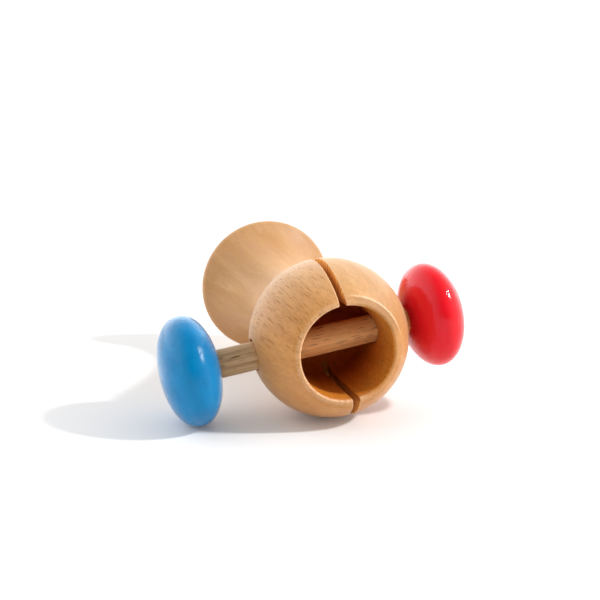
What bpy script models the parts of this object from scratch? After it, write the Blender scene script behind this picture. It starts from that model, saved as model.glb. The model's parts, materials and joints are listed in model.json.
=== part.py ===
"""Baby rattle: a turned wooden body with a hollow round head, and a loose cross bar with two painted discs.

Metres, +Z up. The rattle lies on its side: the mouth of the head faces -Y, the flared base faces +Y,
and the cross bar runs along X, leaning down to the blue disc, which rests on the ground beside the head.
The origin is on the ground, at the middle of the whole object's box.
"""

import math

import bmesh
import bpy
from mathutils import Matrix, Vector

# The turned body: a round head, a waisted neck and a trumpet base, all on the handle's axis.
HEAD_RADIUS = 0.028
BASE_RADIUS = HEAD_RADIUS  # both ends are turned from the same round blank
BASE_DISTANCE = 0.0868  # from the head's centre to the base's widest ring
RIM_ROUND = 0.002
RIM_MEETS_FLARE = math.radians(62)  # 0 points outwards, 90 degrees points to the mouth
NECK_RADIUS = 0.0128
NECK_DISTANCE = 0.058
NECK_LEAVES_HEAD = math.radians(68)  # measured at the head's centre, from the handle's axis

# The hollow in the head.
BORE_RADIUS = 0.0163
BORE_DEPTH = 0.0145  # behind the head's centre
BORE_CORNER = 0.007
LIP_RADIUS = 0.0194  # where the lip's chamfer starts on the ball
LIP_SLOPE = math.radians(29)
LIP_ROUND = 0.0008

# The saw cut that splits the head's wall above and below the bar.
KERF_WIDTH = 0.0023
KERF_OFFSET = 0.0005  # towards the red disc
KERF_DEPTH = 0.0130  # behind the head's centre

# The cross bar and its holes. The bar lies low in holes that are larger than it is.
BAR_RADIUS = 0.00495
HOLE_RADIUS = 0.0056
GAP = 0.0003  # between pieces that touch on the real object
BAR_DROP = HOLE_RADIUS - BAR_RADIUS - GAP
BAR_INTO_DISC = 0.003  # how far the bar passes a disc's middle

# The discs: a rounded lens shape, (r / radius)^e + (z / half_thickness)^e = 1.
BLUE_PLACE = -0.0502  # along the bar, from the head's centre
BLUE_RADIUS = 0.0191
BLUE_EXPONENT = 2.15
RED_PLACE = 0.0387
RED_RADIUS = 0.0188
RED_EXPONENT = 2.0
DISC_HALF_THICKNESS = 0.0102

# How finely the round shapes are divided.
BODY_STEPS = 56
DISC_STEPS = 40
DISC_RINGS = 14
BAR_SIDES = 36
HOLE_SIDES = 36

WOOD = ("turned_wood", (0.66, 0.42, 0.21), 0.42)
BAR_WOOD = ("bar_wood", (0.50, 0.34, 0.20), 0.60)
BLUE_PAINT = ("blue_paint", (0.01, 0.19, 0.55), 0.25)
RED_PAINT = ("red_paint", (0.66, 0.01, 0.02), 0.25)


def clear_scene():
    for obj in list(bpy.data.objects):
        bpy.data.objects.remove(obj, do_unlink=True)


def new_collection(name):
    collection = bpy.data.collections.new(name)
    bpy.context.scene.collection.children.link(collection)
    return collection


def material(name, colour, roughness):
    made = bpy.data.materials.new(name)
    made.use_nodes = True
    shader = made.node_tree.nodes["Principled BSDF"]
    shader.inputs["Base Color"].default_value = (*colour, 1.0)
    shader.inputs["Roughness"].default_value = roughness
    shader.inputs["Metallic"].default_value = 0.0
    return made


def arc(centre, radius, start, end, count):
    """Points on a circle in the plane of a turned profile: angle 0 points outwards, 90 degrees up."""
    angles = [start + (end - start) * i / count for i in range(count + 1)]
    return [(centre[0] + radius * math.cos(a), centre[1] + radius * math.sin(a)) for a in angles]


def sweep(start, start_heading, end, end_heading, count):
    """A smooth stretch between two points of a profile, leaving and arriving on the given headings."""
    reach = math.dist(start, end)
    points = []
    for i in range(count + 1):
        t = i / count
        weights = (2 * t**3 - 3 * t**2 + 1, (t**3 - 2 * t**2 + t) * reach, 3 * t**2 - 2 * t**3, (t**3 - t**2) * reach)
        points.append(
            tuple(
                weights[0] * start[k] + weights[1] * start_heading[k] + weights[2] * end[k] + weights[3] * end_heading[k]
                for k in (0, 1)
            )
        )
    return points


def joined(*stretches):
    """One outline from stretches that meet end to end, with the shared points kept once."""
    outline = list(stretches[0])
    for stretch in stretches[1:]:
        outline += stretch[1:] if math.dist(outline[-1], stretch[0]) < 1e-7 else stretch
    return outline


def add_object(name, mesh, collection, parent):
    obj = bpy.data.objects.new(name, mesh)
    obj.parent = parent
    collection.objects.link(obj)
    return obj


def turned(name, outline, steps, collection, parent, look):
    """A lathe shape: the outline, given as (radius, height) from top to bottom, spun about local Z."""
    mesh = bpy.data.meshes.new(name)
    points = [(radius, 0.0, height) for radius, height in outline]
    mesh.from_pydata(points, [(i, i + 1) for i in range(len(points) - 1)], [])
    mesh.materials.append(look)
    obj = add_object(name, mesh, collection, parent)
    screw = obj.modifiers.new("turn", "SCREW")
    screw.steps = steps
    screw.render_steps = steps
    screw.use_smooth_shade = True
    screw.use_merge_vertices = True
    screw.merge_threshold = 0.00001
    return obj


def cylinder_mesh(name, radius, length, sides):
    mesh = bpy.data.meshes.new(name)
    shape = bmesh.new()
    bmesh.ops.create_cone(
        shape, cap_ends=True, segments=sides, radius1=radius, radius2=radius, depth=length
    )
    shape.to_mesh(mesh)
    shape.free()
    return mesh


def box_mesh(name, sides):
    mesh = bpy.data.meshes.new(name)
    shape = bmesh.new()
    bmesh.ops.create_cube(shape, size=1.0, matrix=Matrix.Diagonal((*sides, 1.0)))
    shape.to_mesh(mesh)
    shape.free()
    return mesh


def cut(target, cutter):
    cutter.hide_render = True
    cutter.display_type = "WIRE"
    boolean = target.modifiers.new(cutter.name, "BOOLEAN")
    boolean.operation = "DIFFERENCE"
    boolean.solver = "EXACT"
    boolean.object = cutter


def body_outline():
    """The body's section with the mouth up and the head's centre at height 0, from inside the hollow outwards."""
    corner = (BORE_RADIUS - BORE_CORNER, BORE_CORNER - BORE_DEPTH)
    floor = arc(corner, BORE_CORNER, math.radians(-90), 0, 4)
    lip_height = math.sqrt(HEAD_RADIUS**2 - LIP_RADIUS**2)
    normal = math.radians(90) - LIP_SLOPE
    round_x = BORE_RADIUS + LIP_ROUND
    chamfer_x = round_x + LIP_ROUND * math.cos(normal)
    chamfer_height = lip_height + (LIP_RADIUS - chamfer_x) * math.tan(LIP_SLOPE)
    round_height = chamfer_height - LIP_ROUND * math.sin(normal)
    lip = arc((round_x, round_height), LIP_ROUND, math.radians(180), normal, 3)
    ball_start = math.atan2(lip_height, LIP_RADIUS)
    ball_end = NECK_LEAVES_HEAD - math.radians(90)
    ball = arc((0.0, 0.0), HEAD_RADIUS, ball_start, ball_end, 11)
    leaves = (math.sin(ball_end), -math.cos(ball_end))
    neck = sweep(ball[-1], leaves, (NECK_RADIUS, -NECK_DISTANCE), (0.0, -1.0), 7)
    rim_centre = (BASE_RADIUS - RIM_ROUND, -BASE_DISTANCE)
    rim = arc(rim_centre, RIM_ROUND, RIM_MEETS_FLARE, math.radians(-90), 6)
    arrives = (math.sin(RIM_MEETS_FLARE), -math.cos(RIM_MEETS_FLARE))
    flare = sweep((NECK_RADIUS, -NECK_DISTANCE), (0.0, -1.0), rim[0], arrives, 9)
    underside = [rim[-1], (0.0, rim[-1][1])]
    return joined([(0.0, -BORE_DEPTH)], floor, lip, ball, neck, flare, rim, underside)


def lip_front():
    """How far the lip stands in front of the head's centre."""
    return max(height for _, height in body_outline())


def disc_outline(radius, exponent):
    outline = []
    for i in range(DISC_RINGS + 1):
        angle = math.radians(90 - 180 * i / DISC_RINGS)
        across = radius * abs(math.cos(angle)) ** (2 / exponent)
        along = DISC_HALF_THICKNESS * abs(math.sin(angle)) ** (2 / exponent)
        outline.append((0.0 if i in (0, DISC_RINGS) else across, math.copysign(along, math.sin(angle))))
    return outline


def disc_reach(radius, exponent, along, across):
    """How far a disc reaches from its middle in a direction with these parts along and across its axis."""
    power = exponent / (exponent - 1)
    total = abs(DISC_HALF_THICKNESS * along) ** power + abs(radius * across) ** power
    return total ** (1 / power)


def lean():
    """The angle that the bar leans at when the blue disc and the head both rest on the ground."""
    low, high = 0.0, math.radians(30)
    for _ in range(60):
        angle = (low + high) / 2
        height = HEAD_RADIUS + BLUE_PLACE * math.sin(angle) - BAR_DROP * math.cos(angle)
        if height > disc_reach(BLUE_RADIUS, BLUE_EXPONENT, math.sin(angle), math.cos(angle)):
            low = angle
        else:
            high = angle
    return low


def head_centre(angle):
    """Where the head's centre is, for an origin under the middle of the whole object's box."""
    drop = BAR_DROP * math.sin(angle)
    blue = disc_reach(BLUE_RADIUS, BLUE_EXPONENT, math.cos(angle), math.sin(angle))
    red = disc_reach(RED_RADIUS, RED_EXPONENT, math.cos(angle), math.sin(angle))
    left = BLUE_PLACE * math.cos(angle) + drop - blue
    right = RED_PLACE * math.cos(angle) + drop + red
    front = -lip_front()
    back = BASE_DISTANCE + RIM_ROUND
    return Vector((-(left + right) / 2, -(front + back) / 2, HEAD_RADIUS))


def add_empty(name, collection, parent=None):
    empty = add_object(name, None, collection, parent)
    empty.empty_display_size = 0.01
    return empty


def make_body(frame, parts, cutters):
    body = turned("turned_body", body_outline(), BODY_STEPS, parts, frame, material(*WOOD))
    body.rotation_euler = (math.radians(90), 0.0, 0.0)

    hole = add_object(
        "bar_hole", cylinder_mesh("bar_hole", HOLE_RADIUS, 3 * HEAD_RADIUS, HOLE_SIDES), cutters, frame
    )
    hole.rotation_euler = (0.0, math.radians(90), 0.0)
    cut(body, hole)

    length = KERF_DEPTH + 2 * HEAD_RADIUS
    kerf = add_object("saw_kerf", box_mesh("saw_kerf", (KERF_WIDTH, length, 3 * HEAD_RADIUS)), cutters, frame)
    kerf.location = (KERF_OFFSET, KERF_DEPTH - length / 2, 0.0)
    cut(body, kerf)


def make_bar(axis, parts):
    start = BLUE_PLACE - BAR_INTO_DISC
    end = RED_PLACE + BAR_INTO_DISC
    mesh = cylinder_mesh("cross_bar", BAR_RADIUS, end - start, BAR_SIDES)
    mesh.materials.append(material(*BAR_WOOD))
    mesh.shade_smooth()
    mesh.set_sharp_from_angle(angle=math.radians(40))
    bar = add_object("cross_bar", mesh, parts, axis)
    bar.location = ((start + end) / 2, 0.0, 0.0)
    bar.rotation_euler = (0.0, math.radians(90), 0.0)


def make_disc(name, place, radius, exponent, look, axis, parts, cutters):
    """A disc whose local Z points outwards along the bar, with a blind hole in its inner face."""
    outwards = math.copysign(1.0, place)
    disc = turned(name, disc_outline(radius, exponent), DISC_STEPS, parts, axis, material(*look))
    disc.location = (place, 0.0, 0.0)
    disc.rotation_euler = (0.0, outwards * math.radians(90), 0.0)

    length = DISC_HALF_THICKNESS + BAR_INTO_DISC + 3 * GAP
    hole_name = f"{name}_hole"
    hole = add_object(
        hole_name, cylinder_mesh(hole_name, BAR_RADIUS + GAP, length, HOLE_SIDES), cutters, axis
    )
    hole.location = (place + outwards * (BAR_INTO_DISC + GAP - length / 2), 0.0, 0.0)
    hole.rotation_euler = (0.0, math.radians(90), 0.0)
    cut(disc, hole)


def main():
    clear_scene()
    parts = new_collection("baby_rattle")
    cutters = new_collection("cutters")
    angle = lean()

    frame = add_empty("lying_frame", parts)
    frame.location = head_centre(angle)
    frame.rotation_euler = (0.0, -angle, 0.0)
    axis = add_empty("bar_axis", parts, frame)
    axis.location = (0.0, 0.0, -BAR_DROP)

    make_body(frame, parts, cutters)
    make_bar(axis, parts)
    make_disc("blue_disc", BLUE_PLACE, BLUE_RADIUS, BLUE_EXPONENT, BLUE_PAINT, axis, parts, cutters)
    make_disc("red_disc", RED_PLACE, RED_RADIUS, RED_EXPONENT, RED_PAINT, axis, parts, cutters)


main()
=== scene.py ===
"""Looks for the baby rattle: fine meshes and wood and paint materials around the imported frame.

Lengths are in millimetres inside the shape functions, and in metres on every object.
Shapes are made in the lying frame. Its origin is the head's centre, X runs along the cross bar towards the
red disc, and Y along the handle towards the base.
"""

import json
import math

import bmesh
import bpy
import numpy as np
from mathutils import Matrix, Vector, kdtree


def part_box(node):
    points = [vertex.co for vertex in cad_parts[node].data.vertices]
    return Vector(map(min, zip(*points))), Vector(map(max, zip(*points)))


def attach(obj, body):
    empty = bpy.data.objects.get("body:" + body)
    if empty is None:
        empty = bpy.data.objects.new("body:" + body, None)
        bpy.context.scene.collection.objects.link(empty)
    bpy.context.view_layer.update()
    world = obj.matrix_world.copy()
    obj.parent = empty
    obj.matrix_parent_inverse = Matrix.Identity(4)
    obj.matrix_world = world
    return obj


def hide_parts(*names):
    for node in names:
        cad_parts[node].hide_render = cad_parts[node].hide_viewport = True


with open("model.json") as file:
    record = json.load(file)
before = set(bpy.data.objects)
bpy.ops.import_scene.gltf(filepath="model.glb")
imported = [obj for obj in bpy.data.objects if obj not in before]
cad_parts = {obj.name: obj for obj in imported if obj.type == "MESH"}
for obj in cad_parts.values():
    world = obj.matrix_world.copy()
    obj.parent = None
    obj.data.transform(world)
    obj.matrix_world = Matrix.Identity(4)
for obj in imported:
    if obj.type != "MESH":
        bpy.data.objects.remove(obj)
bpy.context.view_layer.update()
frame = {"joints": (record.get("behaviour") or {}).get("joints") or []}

MM = 0.001

# The CAD part's own dimensions, in millimetres.
HEAD_RADIUS = 28.0
BASE_RADIUS = 28.0
BASE_DISTANCE = 86.8
RIM_ROUND = 2.0
RIM_MEETS_FLARE = math.radians(62)
NECK_RADIUS = 12.8
NECK_DISTANCE = 58.0
NECK_LEAVES_HEAD = math.radians(68)
BORE_RADIUS = 16.3
BORE_DEPTH = 14.5
BORE_CORNER = 7.0
LIP_RADIUS = 19.4
LIP_SLOPE = math.radians(29)
LIP_ROUND = 0.8
KERF_WIDTH = 2.3
KERF_OFFSET = 0.5
KERF_DEPTH = 13.0
BAR_RADIUS = 4.95
HOLE_RADIUS = 5.6
DISC_HALF_THICKNESS = 10.2
BLUE_RADIUS, BLUE_EXPONENT = 19.1, 2.15
RED_RADIUS, RED_EXPONENT = 18.8, 2.0
EDGE_ROUND = 0.35  # the sanded edges of the saw cut and the holes

# How finely the pieces are meshed: lengths in millimetres, and counts.
VOXEL = 0.32  # the body's squares, before it is thinned
KEPT_SHARE = 0.29  # of the body's triangles, after it is thinned
KEEP_EDGES = 6.0  # how strongly the thinning spares the cut edges
WEIGHT_STEPS = 10  # between no thinning and full thinning
KERF_BAND, KERF_END_BAND, HOLE_BAND, LIP_BAND = 0.8, 1.0, 0.9, 1.0  # spared next to each edge
LIP_START, HEAD_END, RIM_START = -17.0, 20.0, 84.0  # along the handle, from the head's centre
RIM_WEIGHT = 0.6
SAMPLE_SPACING = 0.03  # of the exact outline that the body is drawn onto
ROUGH_OUTLINE, EXACT_OUTLINE = 2, 16
DRAWS = 3  # moves onto the exact surface, each from the last one's place
LEAST_SLOPE = 0.2  # so that no vertex jumps where two slopes cancel out
CUTTER_REACH, CUTTER_FRONT = 40.0, 60.0  # from the head's centre, past its sides and its mouth
BODY_SIDES, HOLE_SIDES, BAR_SIDES, DISC_SIDES = 144, 72, 96, 144
BAR_RINGS, DISC_RINGS = 220, 72
SAME_PLACE = 1e-4  # points this close are one
ON_AXIS = 1e-6  # a smaller radius is on the axis
NO_LENGTH = 1e-9  # a shorter slope has no direction


# ---------------------------------------------------------------- the frame's own places

def lying_frame():
    """The lying frame in the row frame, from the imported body's box and the slide's axis."""
    low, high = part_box("turned_body")
    axis = Vector(next(j["axis"] for j in frame["joints"] if j["type"] == "slide")).normalized()
    centre = Vector(((low.x + high.x) / 2, high.y - (BASE_DISTANCE + RIM_ROUND) * MM, (low.z + high.z) / 2))
    side = Vector((0, 1, 0))
    basis = Matrix((axis, side, axis.cross(side))).transposed().to_4x4()
    basis.translation = centre
    return basis


LYING = lying_frame()


def along_bar(node):
    """A node's middle in the lying frame, in millimetres: how far along the bar it is, and how high."""
    low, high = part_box(node)
    local = LYING.inverted() @ ((low + high) / 2)
    return local.x / MM, local.z / MM


def bar_place(along, rise):
    """The lying frame moved this far along the bar and up, in millimetres."""
    return LYING @ Matrix.Translation((along * MM, 0, rise * MM))


# ---------------------------------------------------------------- outlines

def arc(centre, radius, start, end, count):
    angles = [start + (end - start) * i / count for i in range(count + 1)]
    return [(centre[0] + radius * math.cos(a), centre[1] + radius * math.sin(a)) for a in angles]


def sweep(start, start_heading, end, end_heading, count):
    """A smooth curve from start to end that sets out and arrives with these headings."""
    reach = math.dist(start, end)
    points = []
    for i in range(count + 1):
        t = i / count
        start_share, end_share = 2 * t**3 - 3 * t**2 + 1, 3 * t**2 - 2 * t**3
        leaving, arriving = (t**3 - 2 * t**2 + t) * reach, (t**3 - t**2) * reach
        points.append(tuple(start_share * start[k] + leaving * start_heading[k]
                            + end_share * end[k] + arriving * end_heading[k] for k in (0, 1)))
    return points


def joined(*stretches):
    """One outline from its stretches, without the points that two of them share."""
    outline = list(stretches[0])
    for stretch in stretches[1:]:
        outline += stretch[1:] if math.dist(outline[-1], stretch[0]) < SAME_PLACE else stretch
    return outline


def body_outline(fine):
    """The body's section as (radius, height towards the mouth), from inside the hollow outwards.
    fine multiplies the number of steps in each stretch."""
    corner = (BORE_RADIUS - BORE_CORNER, BORE_CORNER - BORE_DEPTH)
    floor = arc(corner, BORE_CORNER, math.radians(-90), 0, 6 * fine)
    lip_height = math.sqrt(HEAD_RADIUS**2 - LIP_RADIUS**2)
    normal = math.radians(90) - LIP_SLOPE
    round_x = BORE_RADIUS + LIP_ROUND
    chamfer_x = round_x + LIP_ROUND * math.cos(normal)
    chamfer_height = lip_height + (LIP_RADIUS - chamfer_x) * math.tan(LIP_SLOPE)
    round_height = chamfer_height - LIP_ROUND * math.sin(normal)
    lip = arc((round_x, round_height), LIP_ROUND, math.radians(180), normal, 2 * fine)
    ball_start = math.atan2(lip_height, LIP_RADIUS)
    ball_end = NECK_LEAVES_HEAD - math.radians(90)
    ball = arc((0.0, 0.0), HEAD_RADIUS, ball_start, ball_end, 24 * fine)
    leaves = (math.sin(ball_end), -math.cos(ball_end))
    neck = sweep(ball[-1], leaves, (NECK_RADIUS, -NECK_DISTANCE), (0.0, -1.0), 12 * fine)
    rim_centre = (BASE_RADIUS - RIM_ROUND, -BASE_DISTANCE)
    rim = arc(rim_centre, RIM_ROUND, RIM_MEETS_FLARE, math.radians(-90), 3 * fine)
    arrives = (math.sin(RIM_MEETS_FLARE), -math.cos(RIM_MEETS_FLARE))
    flare = sweep((NECK_RADIUS, -NECK_DISTANCE), (0.0, -1.0), rim[0], arrives, 14 * fine)
    return joined([(0.0, -BORE_DEPTH)], floor, lip, ball, neck, flare, rim, [rim[-1], (0.0, rim[-1][1])])


def disc_outline(radius, exponent):
    """A disc's superellipse section as (radius, place along the axis), from one face to the other."""
    outline = []
    for i in range(DISC_RINGS, -1, -1):
        angle = math.radians(90 - 180 * i / DISC_RINGS)
        across = radius * abs(math.cos(angle)) ** (2 / exponent)
        height = DISC_HALF_THICKNESS * abs(math.sin(angle)) ** (2 / exponent)
        outline.append((0.0 if i in (0, DISC_RINGS) else across, math.copysign(height, math.sin(angle))))
    return outline


def resampled(outline, spacing):
    """The outline with points this far apart, and the outward direction at each."""
    points = np.array(outline)
    steps = np.linalg.norm(np.diff(points, axis=0), axis=1)
    along = np.concatenate([[0], np.cumsum(steps)])
    at = np.linspace(0, along[-1], int(along[-1] / spacing) + 2)
    made = np.stack([np.interp(at, along, points[:, 0]), np.interp(at, along, points[:, 1])], axis=1)
    tangent = np.gradient(made, axis=0)
    tangent /= np.linalg.norm(tangent, axis=1)[:, None]
    return made, np.stack([-tangent[:, 1], tangent[:, 0]], axis=1)


# ---------------------------------------------------------------- meshes

def linked_object(name, data):
    obj = bpy.data.objects.new(name, data)
    bpy.context.scene.collection.objects.link(obj)
    return obj


def new_mesh_object(name, points, faces):
    """A smooth mesh object. Points are in millimetres."""
    mesh = bpy.data.meshes.new(name)
    mesh.from_pydata([tuple(p) for p in np.asarray(points, float) * MM], [], [tuple(f) for f in faces])
    shape = bmesh.new()
    shape.from_mesh(mesh)
    bmesh.ops.recalc_face_normals(shape, faces=shape.faces)
    shape.to_mesh(mesh)
    shape.free()
    mesh.shade_smooth()
    return linked_object(name, mesh)


def laid(obj, matrix):
    """Moves a piece's vertices by a matrix, and leaves its object at the row frame's origin."""
    obj.data.transform(matrix)
    return obj


def lathe(name, outline, sides, axis):
    """A closed turned shape about X, or about Y with the outline's heights towards -Y."""
    points, rings = [], []
    for radius, height in outline:
        ring = []
        for i in range(1 if radius < ON_AXIS else sides):
            angle = 2 * math.pi * i / sides
            u, v = radius * math.cos(angle), radius * math.sin(angle)
            points.append((height, u, v) if axis == "X" else (v, -height, u))
            ring.append(len(points) - 1)
        rings.append(ring)
    faces = []
    for first, second in zip(rings, rings[1:]):
        for i in range(sides):
            corners = [first[i % len(first)], first[(i + 1) % sides % len(first)],
                       second[(i + 1) % sides % len(second)], second[i % len(second)]]
            face = list(dict.fromkeys(corners))
            if len(face) > 2:
                faces.append(face)
    return new_mesh_object(name, points, faces)


def cylinder(name, radius, start, end, sides):
    """A closed cylinder along X."""
    return lathe(name, [(0.0, start), (radius, start), (radius, end), (0.0, end)], sides, "X")


def block(name, low, high):
    corners = [(x, y, z) for x in (low[0], high[0]) for y in (low[1], high[1]) for z in (low[2], high[2])]
    faces = [(0, 1, 3, 2), (4, 6, 7, 5), (0, 4, 5, 1), (2, 3, 7, 6), (0, 2, 6, 4), (1, 5, 7, 3)]
    return new_mesh_object(name, corners, faces)


def evaluated(obj):
    """A new mesh from obj with its modifiers applied."""
    graph = bpy.context.evaluated_depsgraph_get()
    return bpy.data.meshes.new_from_object(obj.evaluated_get(graph))


def mesh_points(mesh):
    """A mesh's vertices in millimetres."""
    flat = np.zeros(len(mesh.vertices) * 3, np.float32)
    mesh.vertices.foreach_get("co", flat)
    return flat.reshape(-1, 3).astype(float) / MM


# ---------------------------------------------------------------- the body

def rounded_cut(first, first_slope, second, second_slope, radius):
    """The meeting of two solids given by their distances, with the edge between them rounded."""
    a, b = np.maximum(first + radius, 0), np.maximum(second + radius, 0)
    length = np.sqrt(a * a + b * b)
    both = length > NO_LENGTH
    scale = np.where(both, 1 / np.maximum(length, NO_LENGTH), 0)[:, None]
    edge_slope = (a[:, None] * first_slope + b[:, None] * second_slope) * scale
    largest = np.where((first > second)[:, None], first_slope, second_slope)
    value = np.minimum(-radius, np.maximum(first, second)) + length
    return value, np.where(both[:, None], edge_slope, largest)


def depth_in_hole(p):
    """How deep each point is in the bar's hole, and the slope of that."""
    r = np.maximum(np.hypot(p[:, 1], p[:, 2]), ON_AXIS)
    return HOLE_RADIUS - r, np.stack([np.zeros(len(p)), -p[:, 1] / r, -p[:, 2] / r], axis=1)


def depth_in_kerf(p):
    """How deep each point is in the saw cut, and the slope of that."""
    side = KERF_WIDTH / 2 - np.abs(p[:, 0] - KERF_OFFSET)
    end = KERF_DEPTH - p[:, 1]
    side_slope = np.stack([-np.sign(p[:, 0] - KERF_OFFSET), np.zeros(len(p)), np.zeros(len(p))], axis=1)
    slope = np.where((side < end)[:, None], side_slope, np.array([[0.0, -1.0, 0.0]]))
    return np.minimum(side, end), slope


class BodySolid:
    """Distances to the body's exact surface and their slopes, in the lying frame."""

    def __init__(self):
        self.samples, self.out = resampled(body_outline(EXACT_OUTLINE), SAMPLE_SPACING)
        self.tree = kdtree.KDTree(len(self.samples))
        for i, (r, h) in enumerate(self.samples):
            self.tree.insert((r, h, 0), i)
        self.tree.balance()

    def turned(self, p):
        """The turned shape alone, before the hole and the saw cut."""
        r = np.hypot(p[:, 0], p[:, 2])
        h = -p[:, 1]
        nearest = np.fromiter((self.tree.find((a, b, 0))[1] for a, b in zip(r, h)), int, len(p))
        away = np.stack([r, h], axis=1) - self.samples[nearest]
        out = self.out[nearest]
        inv = 1 / np.maximum(r, ON_AXIS)
        slope = np.stack([out[:, 0] * p[:, 0] * inv, -out[:, 1], out[:, 0] * p[:, 2] * inv], axis=1)
        return (away * out).sum(axis=1), slope

    def distance(self, p):
        value, slope = rounded_cut(*self.turned(p), *depth_in_hole(p), EDGE_ROUND)
        return rounded_cut(value, slope, *depth_in_kerf(p), EDGE_ROUND)


def thinning_weights(p):
    """1 where the surface is plain and can be thinned, less at the base's rim, and 0 near the cut edges and
    the lip."""
    in_head = p[:, 1] < HEAD_END
    to_kerf = np.abs(np.abs(p[:, 0] - KERF_OFFSET) - KERF_WIDTH / 2)
    near_kerf = (to_kerf < KERF_BAND) & (p[:, 1] < KERF_DEPTH + KERF_END_BAND)
    near_hole = np.abs(np.hypot(p[:, 1], p[:, 2]) - HOLE_RADIUS) < HOLE_BAND
    near_lip = (p[:, 1] < LIP_START) & (np.hypot(p[:, 0], p[:, 2]) < LIP_RADIUS + LIP_BAND)
    near = (in_head & (near_kerf | near_hole)) | near_lip
    return np.where(near, 0.0, np.where(p[:, 1] > RIM_START, RIM_WEIGHT, 1.0))


def cut_body_mesh():
    """The turned body with its holes and its saw cut, in even small squares."""
    rough = lathe("body_rough", body_outline(ROUGH_OUTLINE), BODY_SIDES, "Y")
    hole = cylinder("hole_cutter", HOLE_RADIUS, -CUTTER_REACH, CUTTER_REACH, HOLE_SIDES)
    kerf = block("kerf_cutter", (KERF_OFFSET - KERF_WIDTH / 2, -CUTTER_FRONT, -CUTTER_REACH),
                 (KERF_OFFSET + KERF_WIDTH / 2, KERF_DEPTH, CUTTER_REACH))
    for cutter in (hole, kerf):
        modifier = rough.modifiers.new(cutter.name, "BOOLEAN")
        modifier.operation = "DIFFERENCE"
        modifier.solver = "EXACT"
        modifier.object = cutter
    remesh = rough.modifiers.new("even", "REMESH")
    remesh.mode = "VOXEL"
    remesh.voxel_size = VOXEL * MM
    mesh = evaluated(rough)
    for made in (rough, hole, kerf):
        bpy.data.objects.remove(made, do_unlink=True)
    return mesh


def thin_out(body):
    """Thins the body's mesh where it is plain."""
    group = body.vertex_groups.new(name="smooth_areas")
    weight = thinning_weights(mesh_points(body.data))
    for level in range(WEIGHT_STEPS + 1):
        chosen = np.nonzero(np.round(weight * WEIGHT_STEPS).astype(int) == level)[0]
        if len(chosen):
            group.add(chosen.tolist(), level / WEIGHT_STEPS, "REPLACE")
    thin = body.modifiers.new("thin", "DECIMATE")
    thin.ratio = KEPT_SHARE
    thin.vertex_group = group.name
    thin.vertex_group_factor = KEEP_EDGES
    thinned = evaluated(body)
    body.modifiers.clear()
    body.vertex_groups.clear()
    body.data = thinned


def draw_onto_surface(mesh):
    """Moves a mesh onto the body's exact surface, and gives it that surface's normals and its place."""
    solid = BodySolid()
    points = mesh_points(mesh)
    for _ in range(DRAWS):
        value, slope = solid.distance(points)
        points -= (value / np.maximum((slope**2).sum(axis=1), LEAST_SLOPE))[:, None] * slope
    mesh.vertices.foreach_set("co", (points * MM).astype(np.float32).ravel())
    mesh.transform(LYING)
    mesh.update()
    mesh.shade_smooth()
    _, slope = solid.distance(points)
    slope = slope @ np.array(LYING.to_3x3()).T
    slope /= np.maximum(np.linalg.norm(slope, axis=1), NO_LENGTH)[:, None]
    mesh.normals_split_custom_set_from_vertices([tuple(n) for n in slope])


def make_body():
    body = linked_object("turned_body_fine", cut_body_mesh())
    thin_out(body)
    draw_onto_surface(body.data)
    return body


# ---------------------------------------------------------------- the bar and the discs

def make_disc(name, node, radius, exponent):
    return laid(lathe(name, disc_outline(radius, exponent), DISC_SIDES, "X"), bar_place(*along_bar(node)))


def make_bar():
    """The bar, from one disc's middle to the other's, in short rings."""
    blue, rise = along_bar("blue_disc")
    red, _ = along_bar("red_disc")
    side = [(BAR_RADIUS, blue + (red - blue) * i / BAR_RINGS) for i in range(BAR_RINGS + 1)]
    outline = [(0.0, blue)] + side + [(0.0, red)]
    return laid(lathe("cross_bar_fine", outline, BAR_SIDES, "X"), bar_place(0.0, rise))


# ---------------------------------------------------------------- materials

FULL_SHARE = 0.35  # of an edge's width to each side, where it still counts in full
PORE_SOFTNESS = 0.06  # how gently a pore's edge fades, as a share of its cell


def rgb(red, green, blue):
    return (red, green, blue, 1.0)


class Nodes:
    """A node tree being built. Most methods add nodes and return the last one's output."""

    def __init__(self, tree):
        self.tree = tree

    def feed(self, socket, value):
        if isinstance(value, bpy.types.NodeSocket):
            self.tree.links.new(value, socket)
        else:
            socket.default_value = value

    def node(self, kind, inputs, output=0, **settings):
        made = self.tree.nodes.new(kind)
        for key, value in settings.items():
            setattr(made, key, value)
        for key, value in inputs.items():
            self.feed(made.inputs[key], value)
        return made.outputs[output]

    def math(self, operation, *values, clamp=False):
        return self.node("ShaderNodeMath", dict(enumerate(values)), operation=operation, use_clamp=clamp)

    def chain(self, operation, first, *others):
        """The same operation on all the values, from the left."""
        for other in others:
            first = self.math(operation, first, other)
        return first

    def times(self, *values):
        return self.chain("MULTIPLY", *values)

    def plus(self, *values):
        return self.chain("ADD", *values)

    def minus(self, first, second):
        return self.math("SUBTRACT", first, second)

    def most(self, *values):
        return self.chain("MAXIMUM", *values)

    def length(self, vector):
        return self.node("ShaderNodeVectorMath", {0: vector}, output="Value", operation="LENGTH")

    def parts(self, vector):
        made = self.tree.nodes.new("ShaderNodeSeparateXYZ")
        self.feed(made.inputs[0], vector)
        return made.outputs

    def spread(self, value, low, high, out_low=0.0, out_high=1.0):
        """A smooth step: out_low where value is at low, out_high where it is at high."""
        return self.node("ShaderNodeMapRange", {"Value": value, "From Min": low, "From Max": high,
                                                "To Min": out_low, "To Max": out_high},
                         interpolation_type="SMOOTHSTEP")

    def within(self, value, size, none, full):
        """0 where value is this far past a size, and 1 where it has come this close."""
        return self.spread(value, size + none, size + full)

    def edge(self, value, size, past, width):
        """1 where value is this far past a size, falling to 0 a width to each side."""
        away = self.math("ABSOLUTE", self.minus(value, size + past))
        return self.spread(away, width, width * FULL_SHARE)


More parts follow.
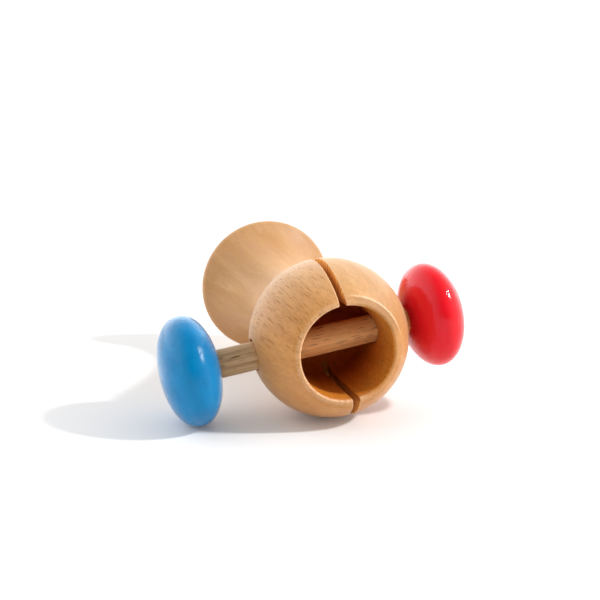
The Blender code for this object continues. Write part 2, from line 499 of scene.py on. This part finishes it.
class Look(Nodes):
    """A material being built."""

    def __init__(self, name, constants):
        self.material = bpy.data.materials.new(name)
        self.material.use_nodes = True
        super().__init__(self.material.node_tree)
        self.shader = self.tree.nodes["Principled BSDF"]
        for socket, value in constants.items():
            self.shader.inputs[socket].default_value = value

    def give(self, socket, value):
        self.feed(self.shader.inputs[socket], value)

    def mix(self, factor, first, second, blend="MIX"):
        made = self.tree.nodes.new("ShaderNodeMix")
        made.data_type = "RGBA"
        made.blend_type = blend
        self.feed(made.inputs[0], factor)
        self.feed(made.inputs[6], first)
        self.feed(made.inputs[7], second)
        return made.outputs[2]

    def tint(self, colour, tinge):
        """The colour times another one."""
        return self.mix(1.0, colour, tinge, "MULTIPLY")

    def shade(self, colour, factor):
        """The colour times a factor."""
        return self.tint(colour, self.node("ShaderNodeCombineColor", {0: factor, 1: factor, 2: factor}))

    def place(self, matrix):
        """Where a point is in a frame given in the row frame, in millimetres."""
        turn = matrix.to_3x3().inverted()
        source = self.node("ShaderNodeTexCoord", {}, output="Object")
        return self.node("ShaderNodeMapping", {"Vector": source, "Scale": (1 / MM,) * 3,
                                               "Rotation": turn.to_euler(),
                                               "Location": -(turn @ matrix.translation) / MM})

    def stretched(self, vector, scale, shift=(0, 0, 0)):
        """The same place scaled along each axis, and shifted so that two noises don't repeat each other."""
        return self.node("ShaderNodeMapping", {"Vector": vector, "Scale": scale, "Location": shift})

    def turned_long(self, vector):
        """The same place with its axes turned so that X becomes Y."""
        return self.node("ShaderNodeMapping", {"Vector": vector, "Rotation": (0, 0, math.radians(90))})

    def noise(self, vector, detail, roughness=0.5, scale=1.0):
        return self.node("ShaderNodeTexNoise", {"Vector": vector, "Scale": scale, "Detail": detail,
                                                "Roughness": roughness})

    def line_noise(self, value, scale, detail):
        return self.node("ShaderNodeTexNoise", {"W": value, "Scale": scale, "Detail": detail},
                         noise_dimensions="1D")

    def pores(self, vector, cell, half_width, empty, density=1.0, shift=(0, 0, 0)):
        """1 inside small closed shapes, one in each cell of a random foam with cells of this size.
        half_width is the largest half width as a share of a cell. empty is the share of cells with none. A
        density over 1 lowers it, and one under 1 raises it."""
        cells = self.tree.nodes.new("ShaderNodeTexVoronoi")
        self.feed(cells.inputs["Vector"], self.stretched(vector, [1 / side for side in cell], shift))
        self.feed(cells.inputs["Scale"], 1.0)
        chance = self.minus(self.times(self.parts(cells.outputs["Color"])[0], density), empty)
        size = self.times(self.math("POWER", self.most(chance, 0.0), 0.5), half_width)
        return self.math("DIVIDE", self.minus(size, cells.outputs["Distance"]), PORE_SOFTNESS, clamp=True)

    def finish(self, colour, roughness, height, strength, depth):
        """The material, with a bump this deep in millimetres."""
        self.give("Base Color", colour)
        self.give("Roughness", roughness)
        self.give("Normal", self.node("ShaderNodeBump", {"Height": height, "Strength": strength,
                                                        "Distance": depth * MM}))
        return self.material


# ---------------------------------------------------------------- the body's wood

# The two tints and the hollow's two multiply the wood's own colour, so some of them pass 1.
HONEY = rgb(0.618, 0.336, 0.136)
AMBER = rgb(0.555, 0.283, 0.102)
ROSY = rgb(0.582, 0.306, 0.142)
PALE = rgb(0.668, 0.392, 0.186)
# The next two tints are partly painted light: the first warms and darkens the low front, the second makes the
# top and the back paler and bluer.
FRONT_SHADE_TINT = rgb(0.98, 0.83, 0.60)
BACK_LIGHT_TINT = rgb(0.99, 1.02, 1.10)
# The pale edge colour is wear on the saw cut, wear and painted highlight on the mouth's left rim, and painted
# highlight on the lip's crest.
WORN_AND_HIGHLIGHT = rgb(0.820, 0.560, 0.350)
# Painted light in the hollow: the first tint is painted bounce light near the mouth, the second painted shade
# deeper in. The spots are the wood's own.
HOLLOW_NEAR_BOUNCE = rgb(1.16, 0.92, 0.42)
HOLLOW_DEEP_SHADE = rgb(0.80, 0.36, 0.07)
HOLLOW_SPOT = rgb(0.26, 0.09, 0.015)
PORE = rgb(0.320, 0.105, 0.006)
# The first sawn colour is painted shade deep in the cut.
SAWN_DEEP_SHADE = rgb(0.40, 0.130, 0.020)
SAWN_DARK = rgb(0.47, 0.180, 0.032)
SAWN_LIGHT = rgb(0.98, 0.510, 0.140)

# The wood's own axes: how far the fibres lean from the handle, which way, and where the bark was.
GRAIN_LEAN, GRAIN_HEADING = math.radians(28), math.radians(129)
BARK = Vector((-0.50, -0.42, 0.75))

# How closely each noise is packed, per millimetre across the wood, along its fibres and towards the bark.
LAYERS = (0.16, 0.012, 0.07)
PATCHES = (0.13, 0.045, 0.13)
FIBRES = (3.4, 0.22, 3.4)
FLECKS = (1.1, 0.20, 1.1)
SPOTS = (2.0, 0.9, 2.0)  # these follow the lying frame instead

# The cells that pores stand in, in millimetres in the same directions, then half width and empty share.
LONG_PORE = ((0.42, 8.0, 2.0), 0.31, 0.20)
SHORT_PORE = ((0.34, 4.5, 1.2), 0.27, 0.32)
SPARSE, CROWDED = 0.44, 1.0  # the pores' density everywhere, and what the crowded side adds
SHORT_SHARE = 0.75  # how strong a short pore is beside a long one
FAINT, STRONG = 0.50, 0.42  # the pores' darkness everywhere, and what the crowded side adds
SAW_MARKS = 40.0  # how closely they are packed, per radian round the bar's axis

# Which values of a noise show: where it begins and where it is full, then what it starts and ends with where
# that isn't 0 and 1.
LAYERS_SHOW = (0.38, 0.64)
ROSY_SHOWS = (0.44, 0.68, 0.0, 0.7)
PALE_SHOWS = (0.42, 0.26, 0.0, 0.6)
FIBRES_SHOW = (0.28, 0.72, -0.10, 0.09)
FLECKS_SHOW = (0.34, 0.66, -0.06, 0.05)
SPOTS_SHOW = (0.53, 0.70, 0.0, 0.65)
MARKS_SHOW = (0.40, 0.58)
WEAR_AND_HIGHLIGHT_SHOW = (0.30, 0.60, 0.25, 0.75)
FIBRES_ROUGHEN = (0.3, 0.7, 0.42, 0.54)

# Fades in millimetres in the lying frame, given in the same way.
# The first fade darkens the head's red side as painted shade.
RED_SIDE_PAINTED_SHADE_X = (4.0, 18.0, 1.0, 0.91)
HANDLE_CALMS_Y = (20.0, 45.0, 1.0, 0.45)
CROWD_X, CROWD_Y, CROWD_Z = (4.0, -7.0), (52.0, 34.0), (-4.0, 9.0)
HOLLOW_SHADE_DEEPENS_Y = (-17.0, 8.0)
RIGHT_X, LEFT_X, UPPER_Z = (1.0, 8.0), (9.0, 1.0), (0.0, 8.0)
INNER_EDGE_Y, CREST_HIGHLIGHT_Y, CHAMFER_SHADE_Y = (-19.5, -20.5), (-18.5, -19.0), (-19.0, -19.6)
SAWN_EDGE_RADIUS, SAWN_SHADE_RADIUS = (17.5, 18.0), (16.8, 19.8)

# How far past a named size a place begins to count, and how far past it the place counts in full.
HOLLOW_SIDE, HOLLOW_FLOOR = (0.6, 0.05), (1.5, 0.5)
CUT_SIDE, CUT_END, SAWN_EDGE_END = (0.25, 0.05), (0.5, 0.1), (0.0, -1.0)
CHAMFER_OUTSIDE = (0.0, -0.4)

# The front's warm, shaded tint gives way to the back's paler, lit one with a sum of places, each times its
# weight: partly painted light.
BACK_X, BACK_Y, BACK_Z = 0.4, 0.5, 0.7
BACK_LIGHT_SUM = (-4.0, 17.0)

# Edges in millimetres: how far past the named size each lies, and how far it reaches to each side.
INNER_RIM, INNER_GLOW, CREST_HIGHLIGHT_LINE, SAWN_LINE = (0.25, 0.40), (0.9, 1.4), (0.05, 0.42), (0.15, 0.30)
GLOW_SHARE = 0.40  # how strong the mouth's inner glow is beside its rim
CHAMFER_PAINTED_SHADE = 0.22  # painted shade: what the lip's chamfer loses at the upper right

SHEEN, SHEEN_ROUGHNESS = 0.16, 0.45
GLOSS, HIDDEN_GLOSS = 0.20, 0.10  # what open faces add, and what all faces have
SAWN_ROUGHER = 0.25
SAWN_COVER = 0.94
FIBRE_HEIGHT = 0.30  # beside a pore's depth of 1
BUMP_STRENGTH, BUMP_DEPTH = 0.5, 0.06  # the depth in millimetres


def grain_turn():
    """The turn from the lying frame to the wood's own. Its Y runs along the fibres, which slope up and to the
    blue side on their way to the base, and its Z towards the bark."""
    across = math.sin(GRAIN_LEAN)
    fibre = Vector((across * math.cos(GRAIN_HEADING), math.cos(GRAIN_LEAN), across * math.sin(GRAIN_HEADING)))
    bark = (BARK - fibre * BARK.dot(fibre)).normalized()
    return Matrix((fibre.cross(bark), fibre, bark)).transposed().to_4x4()


class TurnedWood(Look):
    """The body's wood, painted in layers."""

    def __init__(self):
        super().__init__("turned_wood_look", {"Sheen Roughness": SHEEN_ROUGHNESS})
        self.point = self.place(LYING)
        self.x, self.y, self.z = self.parts(self.point)
        self.radius = self.length(self.stretched(self.point, (1, 0, 1)))
        self.grain = self.place(LYING @ grain_turn())
        self.fibre = self.noise(self.stretched(self.grain, FIBRES), 4.0, 0.65)
        self.flecks = self.noise(self.stretched(self.grain, FLECKS, (2, 2, 5)), 3.0, 0.6)
        self.inside = self.times(self.within(self.radius, BORE_RADIUS, *HOLLOW_SIDE),
                                 self.within(self.y, BORE_DEPTH, *HOLLOW_FLOOR))
        self.off_cut = self.math("ABSOLUTE", self.minus(self.x, KERF_OFFSET))
        self.cut = self.times(self.within(self.off_cut, KERF_WIDTH / 2, *CUT_SIDE),
                              self.within(self.y, KERF_DEPTH, *CUT_END))

    def bare(self):
        """Soft patches and growth layers, fibres along the grain, painted shade on the head's red side, and a
        tint that is partly painted light.
        """
        layers = self.noise(self.stretched(self.grain, LAYERS), 3.0, 0.55)
        patches = self.noise(self.stretched(self.grain, PATCHES, (3, 1, 7)), 4.0, 0.6)
        tone = self.mix(self.spread(layers, *LAYERS_SHOW), HONEY, AMBER)
        tone = self.mix(self.spread(patches, *ROSY_SHOWS), tone, ROSY)
        tone = self.mix(self.spread(patches, *PALE_SHOWS), tone, PALE)
        back = self.plus(self.times(self.z, BACK_Z), self.times(self.y, BACK_Y),
                         self.times(self.most(self.x, 0.0), BACK_X))
        # Painted shade: the head's red side is made darker.
        tone = self.shade(tone, self.spread(self.x, *RED_SIDE_PAINTED_SHADE_X))
        # Partly painted light: warmer and darker at the low front, paler and bluer at the top and the back.
        tone = self.tint(tone, self.mix(self.spread(back, *BACK_LIGHT_SUM), FRONT_SHADE_TINT, BACK_LIGHT_TINT))
        streaks = self.plus(self.spread(self.fibre, *FIBRES_SHOW), self.spread(self.flecks, *FLECKS_SHOW))
        streaks = self.times(streaks, self.spread(self.y, *HANDLE_CALMS_Y))
        return self.shade(tone, self.plus(1.0, streaks))

    def vessels(self):
        """Pores, the open vessels along the grain, and where they crowd on one side of the head."""
        crowded = self.times(self.spread(self.x, *CROWD_X), self.spread(self.z, *CROWD_Z),
                             self.spread(self.y, *CROWD_Y))
        density = self.plus(SPARSE, self.times(crowded, CROWDED))
        long_pores = self.pores(self.grain, *LONG_PORE, density)
        short_pores = self.pores(self.grain, *SHORT_PORE, density, (5, 3, 8))
        return self.most(long_pores, self.times(short_pores, SHORT_SHARE)), crowded

    def hollow_painted_light(self, tone):
        """The hollow with painted light: warmer and yellower near the mouth as painted bounce light, darker
        and redder deeper in as painted shade, and dark spots of the wood's own.
        """
        # Painted bounce light near the mouth and painted shade deeper in.
        hollow_light = self.mix(self.spread(self.y, *HOLLOW_SHADE_DEEPENS_Y), HOLLOW_NEAR_BOUNCE, HOLLOW_DEEP_SHADE)
        tone = self.mix(self.inside, tone, self.tint(tone, hollow_light))
        spots = self.noise(self.stretched(self.point, SPOTS, (4, 4, 1)), 3.0)
        return self.mix(self.times(self.inside, self.spread(spots, *SPOTS_SHOW)), tone, HOLLOW_SPOT)

    def worn_and_highlit(self, tone):
        """Pale edges at the mouth, the lip's crest and the saw cut: wear on the saw cut, wear and a painted
        highlight at the mouth's left rim, and a painted highlight on the crest. The lip's upper right has a
        chamfer darkened with painted shade and the crest, and the rest of it a pale inner edge."""
        # The mouth's inner rim on the left: partly wear, partly painted highlight.
        inner = self.most(self.edge(self.radius, BORE_RADIUS, *INNER_RIM),
                          self.times(self.edge(self.radius, BORE_RADIUS, *INNER_GLOW), GLOW_SHARE))
        inner = self.times(inner, self.spread(self.y, *INNER_EDGE_Y), self.spread(self.x, *LEFT_X))
        upper_right = self.times(self.spread(self.x, *RIGHT_X), self.spread(self.z, *UPPER_Z))
        # Painted highlight along the lip's crest at the upper right.
        crest_highlight = self.times(self.edge(self.radius, LIP_RADIUS, *CREST_HIGHLIGHT_LINE), self.spread(self.y, *CREST_HIGHLIGHT_Y),
                           upper_right)
        # Painted shade on the lip's chamfer at the upper right.
        chamfer = self.times(self.within(self.radius, LIP_RADIUS, *CHAMFER_OUTSIDE),
                             self.spread(self.y, *CHAMFER_SHADE_Y))
        tone = self.shade(tone, self.minus(1.0, self.times(chamfer, upper_right, CHAMFER_PAINTED_SHADE)))
        sawn_edge = self.times(self.edge(self.off_cut, KERF_WIDTH / 2, *SAWN_LINE),
                               self.spread(self.radius, *SAWN_EDGE_RADIUS),
                               self.within(self.y, KERF_DEPTH, *SAWN_EDGE_END))
        edges = self.most(inner, crest_highlight, sawn_edge)
        return self.mix(self.times(edges, self.spread(self.flecks, *WEAR_AND_HIGHLIGHT_SHOW)), tone, WORN_AND_HIGHLIGHT)

    def sawn(self, tone):
        """The saw cut's brown faces, with fine marks across them, darkened with painted shade towards the
        inside.
        """
        marks = self.line_noise(self.math("ARCTAN2", self.z, self.y), SAW_MARKS, 1.0)
        faces = self.mix(self.spread(marks, *MARKS_SHOW), SAWN_DARK, SAWN_LIGHT)
        # Painted shade: the faces darken towards the inside of the cut.
        faces = self.mix(self.spread(self.radius, *SAWN_SHADE_RADIUS), SAWN_DEEP_SHADE, faces)
        return self.mix(self.times(self.cut, SAWN_COVER), tone, faces)


def turned_wood():
    wood = TurnedWood()
    pores, crowded = wood.vessels()
    darkness = wood.plus(FAINT, wood.times(crowded, STRONG))
    tone = wood.mix(wood.times(pores, darkness), wood.bare(), PORE)
    tone = wood.sawn(wood.worn_and_highlit(wood.hollow_painted_light(tone)))
    open_side = wood.minus(1.0, wood.most(wood.inside, wood.cut))
    wood.give("Sheen Weight", wood.times(open_side, SHEEN))
    wood.give("Specular IOR Level", wood.plus(wood.times(open_side, GLOSS), HIDDEN_GLOSS))
    rough = wood.plus(wood.spread(wood.fibre, *FIBRES_ROUGHEN), wood.times(wood.cut, SAWN_ROUGHER))
    height = wood.minus(wood.times(wood.fibre, FIBRE_HEIGHT), pores)
    return wood.finish(tone, rough, height, BUMP_STRENGTH, BUMP_DEPTH)


# ---------------------------------------------------------------- the bar's wood and the paints

# The first two colours are the bar's wood inside the head, warmed as painted bounce light.
BAR_BOUNCE_WARM = rgb(0.870, 0.480, 0.190)
BAR_BOUNCE_DEEP = rgb(0.700, 0.350, 0.130)
BAR_GREY = rgb(0.620, 0.400, 0.210)
BAR_BROWN = rgb(0.400, 0.235, 0.110)
# Painted shade: this tint darkens the bar between the head and the red disc.
BAR_RED_END_SHADE = rgb(1.0, 0.74, 0.50)
BAR_CRACK = rgb(0.085, 0.036, 0.014)
BAR_LAYERS = (0.030, 0.55, 0.55)
BAR_FIBRES = (0.20, 4.5, 4.5)
BAR_LAYERS_SHOW = (0.36, 0.64)
BAR_FIBRES_SHOW = (0.25, 0.75, 0.80, 1.12)
BAR_FIBRES_ROUGHEN = (0.3, 0.7, 0.50, 0.64)
BAR_GLOSS = 0.30
STREAK = ((0.55, 7.0, 0.55), 0.32, 0.12)
CRACK = ((1.5, 13.0, 1.5), 0.24, 0.20)
STREAK_SHARE = 0.65  # how strong a streak is beside a crack
CRACK_COVER = 0.9
BLUE_END_X = (-24.0, -30.0)  # where the bar leaves the head on the blue side
RED_END_X = (25.0, 28.0)  # and on the red side
BAR_FIBRE_HEIGHT = 0.5  # beside a crack's depth of 1
BAR_BUMP_STRENGTH, BAR_BUMP_DEPTH = 0.6, 0.10  # the depth in millimetres

BLUE, BLUE_DEEP = rgb(0.001, 0.205, 0.460), rgb(0.0005, 0.145, 0.350)
RED, RED_DEEP = rgb(0.75, 0.008, 0.017), rgb(0.68, 0.006, 0.011)
BLUE_GLINT, RED_GLINT = rgb(0.70, 0.90, 1.00), rgb(1.00, 0.80, 0.85)
BLUE_WAVINESS, RED_WAVINESS = 0.11, 0.06  # the depth of the paint's bumps, in millimetres
CLOUD = (0.10, 0.10, 0.10)
PEEL, WAVES = 1.7, 0.45  # how closely its fine and wide bumps are packed, per millimetre
SPECK = ((1.6, 1.6, 1.6), 0.14, 0.55)
SPECK_HEIGHT = 0.5  # beside the other bumps' range of 1
CLOUDS_SHOW = (0.35, 0.68, 0.0, 0.6)
CLOUDS_ROUGHEN = (0.3, 0.7, 0.08, 0.12)
PAINT_GLOSS = 0.30


def bar_wood():
    """The bar's wood: greyer on the blue side, warm inside the head as painted bounce light and darker and
    browner at the red disc as painted shade, with dark streaks and cracks along it."""
    look = Look("bar_wood_look", {"Specular IOR Level": BAR_GLOSS})
    point = look.place(LYING)
    x = look.parts(point)[0]
    layers = look.noise(look.stretched(point, BAR_LAYERS), 4.0, 0.6)
    fibre = look.noise(look.stretched(point, BAR_FIBRES), 3.0, 0.6)
    layered = look.spread(layers, *BAR_LAYERS_SHOW)
    # Painted bounce light inside the head.
    tone = look.mix(layered, BAR_BOUNCE_WARM, BAR_BOUNCE_DEEP)
    tone = look.mix(look.spread(x, *BLUE_END_X), tone, look.mix(layered, BAR_GREY, BAR_BROWN))
    # Painted shade at the red disc.
    tone = look.mix(look.spread(x, *RED_END_X), tone, look.tint(tone, BAR_RED_END_SHADE))
    tone = look.shade(tone, look.spread(fibre, *BAR_FIBRES_SHOW))
    along = look.turned_long(point)
    streaks = look.times(look.pores(along, *STREAK), STREAK_SHARE)
    dark = look.most(streaks, look.pores(along, *CRACK, shift=(2, 6, 3)))
    tone = look.mix(look.times(dark, CRACK_COVER), tone, BAR_CRACK)
    rough = look.spread(fibre, *BAR_FIBRES_ROUGHEN)
    height = look.minus(look.times(fibre, BAR_FIBRE_HEIGHT), dark)
    return look.finish(tone, rough, height, BAR_BUMP_STRENGTH, BAR_BUMP_DEPTH)


def gloss_paint(name, node, colour, deep, glint, waviness):
    """A disc's gloss paint, with slight clouds of a deeper colour and an orange peel."""
    look = Look(name, {"Specular IOR Level": PAINT_GLOSS, "Specular Tint": glint})
    point = look.place(bar_place(*along_bar(node)))
    cloud = look.noise(look.stretched(point, CLOUD), 3.0)
    tone = look.mix(look.spread(cloud, *CLOUDS_SHOW), colour, deep)
    peel = look.noise(point, 2.0, 0.6, scale=PEEL)
    waves = look.noise(look.stretched(point, (1, 1, 1), (7, 1, 3)), 2.0, scale=WAVES)
    height = look.plus(peel, waves, look.times(look.pores(point, *SPECK), SPECK_HEIGHT))
    return look.finish(tone, look.spread(cloud, *CLOUDS_ROUGHEN), height, 1.0, waviness)


# ---------------------------------------------------------------- the pieces

def put(obj, look, body, node):
    obj.data.materials.clear()
    obj.data.materials.append(look)
    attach(obj, body)
    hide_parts(node)


put(make_body(), turned_wood(), "handle", "turned_body")
put(make_bar(), bar_wood(), "bar", "cross_bar")
put(make_disc("blue_disc_fine", "blue_disc", BLUE_RADIUS, BLUE_EXPONENT),
    gloss_paint("blue_paint_look", "blue_disc", BLUE, BLUE_DEEP, BLUE_GLINT, BLUE_WAVINESS),
    "discs", "blue_disc")
put(make_disc("red_disc_fine", "red_disc", RED_RADIUS, RED_EXPONENT),
    gloss_paint("red_paint_look", "red_disc", RED, RED_DEEP, RED_GLINT, RED_WAVINESS),
    "discs", "red_disc")


# ---------------------------------------------------------------- floor, light and camera

# Here lengths are in metres.
WHITE = rgb(1, 1, 1)
FLOOR_REACH = 3.0
FLOOR_ALBEDO = 0.80
FLOOR_GLOW, FAR_FLOOR_GLOW = 0.05, 0.60
GLOW_RISES, GLOW_FULL = 0.6, 2.6
LAMP_PLACE = Vector((0.716, -0.355, 0.676))
LAMP_RADIUS = 0.045
LAMP_STRENGTH = 2.36  # watts through each square metre of a sphere round the lamp, at the rattle's distance
LAMP_WATTS = LAMP_STRENGTH * 4 * math.pi * LAMP_PLACE.length_squared
# The studio's soft light: where from, how bright, and the power of the cosine that it falls off by.
BACKDROP = Vector((0.289, 0.957, 0.0))
SIDE = Vector((-0.957, 0.289, 0.0))
ABOVE = Vector((0.0, 0.0, 1.0))
WIDE, NARROW = 2.0, 4.0
SOFT_LIGHTS = (
    (BACKDROP, 2.50, WIDE),
    (-BACKDROP, 0.05, WIDE),
    (SIDE, 2.00, WIDE),
    (-SIDE, 1.30, WIDE),
    (-BACKDROP + ABOVE, 0.05, NARROW),
    (BACKDROP + ABOVE, 0.23, NARROW),
    (SIDE + ABOVE, 0.75, NARROW),
    (-SIDE + ABOVE, 0.50, NARROW),
)


def make_floor():
    """A pale floor that glows with distance, so that it meets the white backdrop without a line."""
    reach = FLOOR_REACH / MM
    corners = [(-reach, -reach, 0), (reach, -reach, 0), (reach, reach, 0), (-reach, reach, 0)]
    floor = new_mesh_object("floor", corners, [(0, 1, 2, 3)])
    look = Look("floor_look", {"Base Color": rgb(*(FLOOR_ALBEDO,) * 3), "Roughness": 0.9,
                               "Specular IOR Level": 0.0, "Emission Color": WHITE})
    distance = look.length(look.node("ShaderNodeTexCoord", {}, output="Object"))
    look.give("Emission Strength", look.spread(distance, GLOW_RISES, GLOW_FULL, FLOOR_GLOW, FAR_FLOOR_GLOW))
    floor.data.materials.append(look.material)


def make_studio():
    """The soft light from all sides. The camera sees it as white."""
    world = bpy.data.worlds.new("studio")
    world.use_nodes = True
    nodes = Nodes(world.node_tree)
    direction = nodes.node("ShaderNodeTexCoord", {}, output="Generated")
    total = 0.0
    for towards, strength, sharpness in SOFT_LIGHTS:
        facing = nodes.node("ShaderNodeVectorMath", {0: direction, 1: towards.normalized()},
                            output="Value", operation="DOT_PRODUCT")
        lobe = nodes.math("POWER", nodes.most(facing, 0.0), sharpness)
        total = nodes.plus(nodes.times(lobe, strength), total)
    seen = nodes.node("ShaderNodeLightPath", {}, output="Is Camera Ray")
    background = world.node_tree.nodes["Background"]
    nodes.feed(background.inputs["Color"], WHITE)
    nodes.feed(background.inputs["Strength"], nodes.most(total, seen))
    bpy.context.scene.world = world


def make_lamp():
    lamp = bpy.data.lights.new("key", "POINT")
    lamp.energy = LAMP_WATTS
    lamp.shadow_soft_size = LAMP_RADIUS
    linked_object("key", lamp).location = LAMP_PLACE


CAMERA_AZIMUTH = math.radians(-16.773)
CAMERA_ELEVATION = math.radians(13.109)
CAMERA_ROLL = math.radians(1.228)
CAMERA_DISTANCE = 0.350
CAMERA_ASIDE = -0.010333  # of the head's centre
CAMERA_ABOVE = 0.012816
CAMERA_LENS, CAMERA_SENSOR = 59.846, 36  # in millimetres
CAMERA_NEAREST = 0.01


def make_camera():
    a, e = CAMERA_AZIMUTH, CAMERA_ELEVATION
    back = Vector((math.sin(a) * math.cos(e), -math.cos(a) * math.cos(e), math.sin(e)))
    right = Vector((math.cos(a), math.sin(a), 0))
    up = back.cross(right)
    target = LYING.translation + right * CAMERA_ASIDE + up * CAMERA_ABOVE
    turned_right = right * math.cos(CAMERA_ROLL) + up * math.sin(CAMERA_ROLL)
    turned_up = up * math.cos(CAMERA_ROLL) - right * math.sin(CAMERA_ROLL)
    matrix = Matrix((turned_right, turned_up, back)).transposed().to_4x4()
    matrix.translation = target + back * CAMERA_DISTANCE
    data = bpy.data.cameras.new("camera")
    data.sensor_width = CAMERA_SENSOR
    data.lens = CAMERA_LENS
    data.clip_start = CAMERA_NEAREST
    camera = linked_object("camera", data)
    camera.matrix_world = matrix
    bpy.context.scene.camera = camera


make_floor()
make_studio()
make_lamp()
make_camera()
bpy.context.scene.view_settings.view_transform = "Standard"
